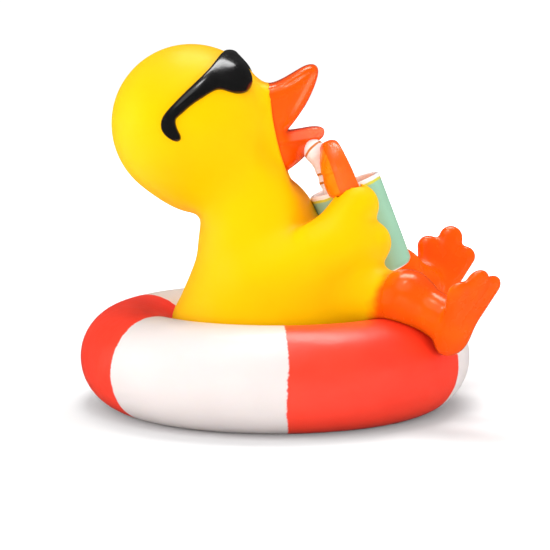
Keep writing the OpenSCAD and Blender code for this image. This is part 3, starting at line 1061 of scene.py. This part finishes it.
def steel():
    """Stainless steel with a fine brushed grain."""
    s = Shader("stainless")
    stretched = s.node("Mapping", Vector=s.place, Scale=(400.0, 400.0, 4000.0))
    brush = s.noise(1.0, 4, 0.6, place=stretched)
    s.surface(Base_Color=s.mix(brush, (0.5, 0.5, 0.5, 1), (0.68, 0.68, 0.66, 1)))
    s.surface(Metallic=1.0, Roughness=s.math("MULTIPLY_ADD", brush, 0.25, 0.2))
    s.bumps([(brush, 0.00002)])
    return s.material


def rubber():
    """Matt black rubber."""
    s = Shader("seal_rubber")
    black, worn = (0.015, 0.015, 0.015, 1), (0.035, 0.035, 0.035, 1)
    s.surface(Base_Color=s.mix(s.noise(200, 4), black, worn))
    s.surface(Roughness=s.math("MULTIPLY_ADD", s.noise(500, 3), 0.2, 0.6))
    s.bumps([(s.noise(1500, 3), 0.00005)])
    return s.material


def tablet_cake():
    """Pressed powder: pale, grainy and slightly crumbled."""
    s = Shader("tablet_cake")
    grain = s.noise(1800, 5, 0.7)
    s.surface(Base_Color=s.mix(grain, colour(236, 236, 226), colour(214, 216, 204)))
    s.surface(Roughness=s.math("MULTIPLY_ADD", s.noise(300, 3), 0.15, 0.8))
    s.bumps([(grain, 0.00012), (s.noise(240, 4), 0.0003)])
    return s.material


# ---------- pieces ----------


def place(piece, material, node, slot):
    """Gives a piece its material, and lets it stand for a CAD node of the floating body."""
    piece.data.materials.append(material)
    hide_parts(node)
    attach(piece, "float")


# The boxes that the fields are sampled in, by their lowest and highest corners
DUCK_BOX = (-92, -62, 7), (84, 62, 200)
BEAK_BOX = (-8, -22, 120), (32, 22, 190)
LEFT_FOOT_BOX = (50, 30, 28), (120, 98, 92)
GLASSES_BOX = (-70, -50, 140), (5, 50, 202)
LEFT_LENS_BOX = (-40, 0, 160), (5, 45, 202)
CUP_BOX = (10, -24, 62), (80, 24, 134)
DRINK_BOX = (15, -22, 100), (62, 22, 130)
STRAW_BOX = (8, -18, 105), (42, 6, 152)
SLICE_BOX = (14, -40, 100), (60, 2, 152)


def other_side(box):
    """The mirror image of a box across the plane of symmetry."""
    low, high = box
    return (low[0], -high[1], low[2]), (high[0], -low[1], high[2])


def build_sculpted():
    """The pieces made from fields."""
    yellow, orange, black = yellow_vinyl(), orange_vinyl(), black_gloss()
    cup, drink, straw = cup_paint(), drink_paint(), straw_paint()
    peel, flesh = peel_paint(), flesh_paint()
    right_foot_box, right_lens_box = other_side(LEFT_FOOT_BOX), other_side(LEFT_LENS_BOX)
    # Name, CAD node, slot, material, field, box, and the step of the mesh
    for name, node, slot, material, field, box, step in (
        ("duck_skin", "duck_shell", "yellow_vinyl", yellow, duck_field, DUCK_BOX, 1.3),
        ("duck_beak", "beak", "orange_vinyl", orange, beak_field, BEAK_BOX, 0.8),
        ("right_foot", "foot_right", "orange_vinyl", orange, right_foot_field, right_foot_box, 0.9),
        ("left_foot", "foot_left", "orange_vinyl", orange, left_foot_field, LEFT_FOOT_BOX, 0.9),
        ("glasses_frame", "sunglasses_frame", "black_gloss", black, frame_field, GLASSES_BOX, 0.7),
        ("right_lens", "lens_right", "black_gloss", black, lens_field, right_lens_box, 0.7),
        ("left_lens", "lens_left", "black_gloss", black, lens_field, LEFT_LENS_BOX, 0.7),
        ("drink_cup", "cup", "mint_vinyl", cup, cup_field, CUP_BOX, 0.7),
        ("drink_surface", "cup_drink", "beige_vinyl", drink, drink_field, DRINK_BOX, 0.7),
        ("drinking_straw", "straw", "white_vinyl", straw, straw_field, STRAW_BOX, 0.55),
        ("citrus_peel", "citrus_rind", "peel_vinyl", peel, rind_field, SLICE_BOX, 0.42),
        ("citrus_segments", "citrus_flesh", "flesh_vinyl", flesh, flesh_field, SLICE_BOX, 0.42),
    ):
        place(sculpt(name, field, *box, step), material, node, slot)


def ring_profile():
    """The tube's section: a circle with a flat underneath."""
    half_flat = math.sqrt(TUBE_R**2 - RING_Z**2)
    start = math.atan2(-RING_Z, half_flat)
    outer = [
        (RING_R + TUBE_R * math.cos(start + t), RING_Z + TUBE_R * math.sin(start + t))
        for t in np.linspace(0, math.pi - 2 * start, 90)
    ]
    flat = [(RING_R + x, 0) for x in np.linspace(-half_flat, half_flat, 8)[1:-1]]
    return outer + flat


def build_ring():
    place(lathe("swim_ring", ring_profile(), 240), ring_vinyl(), "ring_shell", "ring_vinyl")


def dress_cad():
    """Materials for the CAD nodes that stay as they are."""
    white = moulded("white_mould", colour(236, 236, 234))
    looks = {
        "clamp_collar": white,
        "base_ring": white,
        "canister": white,
        "basket": white,
        "base_cap": white,
        "flow_dial": moulded("blue_mould", colour(66, 150, 205), 0.45),
        "ring_plug": moulded("clear_plug", colour(226, 226, 222), 0.4),
        "flange_gasket": rubber(),
        "tablet_lower": tablet_cake(),
    }
    looks["tablet_upper"] = looks["tablet_lower"]
    metal = steel()
    for name in ("flange_screws", "dial_pivot", "pivot_clip", "dial_washer"):
        looks[name] = metal
    for name, material in looks.items():
        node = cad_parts[name]
        node.data.materials.clear()
        node.data.materials.append(material)
        bevel = node.modifiers.new("edges", "BEVEL")
        bevel.width = 0.25 * MM
        bevel.segments = 2
        bevel.limit_method = "ANGLE"
        bevel.angle_limit = math.radians(40)
        if name.startswith("tablet"):
            # so that a tablet that lies on the basket doesn't cut into it
            gap = node.modifiers.new("clearance", "DISPLACE")
            gap.mid_level = 0
            gap.strength = -0.03 * MM


# ---------- stage ----------

# World light on matt surfaces, in reflections, and as the camera sees it
FILL = 0.54
MIRRORED = 0.05
SEEN = 1.05

OPEN_FLOOR = (0.22, 0.75)  # metres from the middle, over which the floor brightens to white

AT_DUCK = (0, 0, 0.1)
AT_FEET = (0.1, 0, 0.03)
# Lights: name, place, aim, width and height, watts, and whether reflections show it
LIGHTS = [
    ("top", (0.1, 0.34, 1.15), AT_DUCK, (0.8, 0.4), 7, True),
    ("key", (-0.12, -0.3, 1.15), AT_DUCK, (0.24, 0.18), 1.3, True),
    ("front", (-0.55, -1.2, 0.22), AT_DUCK, (0.7, 0.3), 6.8, False),
    ("left", (-1.1, 0, 0.3), AT_DUCK, (0.4, 0.5), 4, False),
    ("right", (1.0, -0.55, 0.14), AT_FEET, (0.4, 0.3), 3.6, False),
    ("rim", (0.9, 0.5, 0.06), AT_FEET, (0.4, 0.1), 3.6, False),
]
SUN_POWER = 0.5
SUN_WIDTH = math.radians(50)
SUN_WAY = (0.35, 0.45, -1)

# The camera looks along +Y and down, with the lens that fits the photograph's perspective
CAMERA_ELEVATION = math.radians(7.64)
CAMERA_DISTANCE = 1.151
CAMERA_AIM = (0, 0, 0.0704)
CAMERA_LENS = 137


def add_facing(name, data, way, at=(0, 0, 0)):
    """Adds a light or camera that looks a given way."""
    thing = bpy.data.objects.new(name, data)
    thing.location = at
    thing.rotation_euler = Vector(way).to_track_quat("-Z", "Y").to_euler()
    bpy.context.scene.collection.objects.link(thing)
    return thing


def build_world():
    """An even white sky, whose strength depends on the kind of ray that meets it."""
    scene = bpy.context.scene
    scene.view_settings.view_transform = "Standard"
    world = bpy.data.worlds.new("studio")
    world.use_nodes = True
    tree = world.node_tree
    rays = tree.nodes.new("ShaderNodeLightPath")
    reflected, seen = [tree.nodes.new("ShaderNodeMix") for _ in range(2)]
    reflected.inputs["A"].default_value = FILL
    reflected.inputs["B"].default_value = MIRRORED
    seen.inputs["B"].default_value = SEEN
    background = tree.nodes["Background"]
    background.inputs["Color"].default_value = (1, 1, 1, 1)
    for output, target in (
        (rays.outputs["Is Glossy Ray"], reflected.inputs["Factor"]),
        (rays.outputs["Is Camera Ray"], seen.inputs["Factor"]),
        (reflected.outputs["Result"], seen.inputs["A"]),
        (seen.outputs["Result"], background.inputs["Strength"]),
    ):
        tree.links.new(output, target)
    scene.world = world
    world.cycles.sampling_method = "NONE"  # or the dim sky isn't used for reflections


def floor_paper():
    """White paper that glows far out, so that no horizon shows, and is clear from below."""
    s = Shader("floor_paper")
    paper = s.mix(s.noise(4, 2), (0.89, 0.89, 0.89, 1), (0.91, 0.91, 0.91, 1))
    x, y = s.axis("X"), s.axis("Y")
    far = s.ramp(s.math("SQRT", s.plus(s.times(x, x), s.times(y, y))), *OPEN_FLOOR)
    s.surface(Base_Color=s.mix(far, paper, (0.97, 0.97, 0.97, 1)))
    s.surface(Roughness=0.8, Specular_IOR_Level=0.0)
    s.surface(Emission_Color=(1, 1, 1, 1), Emission_Strength=s.times(far, 0.7))
    # in the camera's own frame, the world's up has a positive Z when the camera looks up
    turn = {"vector_type": "VECTOR", "convert_from": "WORLD", "convert_to": "CAMERA"}
    sight = s.node("VectorTransform", settings=turn, Vector=(0, 0, 1))
    under = s.math("GREATER_THAN", s.node("SeparateXYZ", "Z", Vector=sight), 0.0)
    clear = s.node("BsdfTransparent")
    output = s.tree.nodes["Material Output"]
    s.put(output.inputs["Surface"], s.node("MixShader", i0=under, i1=s.main.outputs[0], i2=clear))
    return s.material


def build_floor():
    bm = bmesh.new()
    bmesh.ops.create_grid(bm, x_segments=24, y_segments=24, size=3)
    mesh = bpy.data.meshes.new("floor")
    bm.to_mesh(mesh)
    bm.free()
    mesh.materials.append(floor_paper())
    floor = add_piece("floor", mesh)
    floor.location.z = -0.2 * MM
    floor.visible_glossy = False
    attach(floor, "basket")  # so that the basket stands on it when it drops


def build_lights():
    sun = bpy.data.lights.new("sky_softbox", "SUN")
    sun.energy = SUN_POWER
    sun.angle = SUN_WIDTH
    add_facing("sky_softbox", sun, SUN_WAY)
    for name, at, aim, size, power, reflected in LIGHTS:
        data = bpy.data.lights.new(name, "AREA")
        data.shape = "RECTANGLE"
        data.size, data.size_y = size
        data.energy = power
        light = add_facing(name, data, Vector(aim) - Vector(at), at)
        light.visible_glossy = reflected


def build_camera():
    data = bpy.data.cameras.new("camera")
    data.sensor_width = 36
    data.lens = CAMERA_LENS
    way = Vector((0, math.cos(CAMERA_ELEVATION), -math.sin(CAMERA_ELEVATION)))
    at = Vector(CAMERA_AIM) - CAMERA_DISTANCE * way
    bpy.context.scene.camera = add_facing("camera", data, way, at)


build_sculpted()
build_ring()
dress_cad()
build_world()
build_floor()
build_lights()
build_camera()
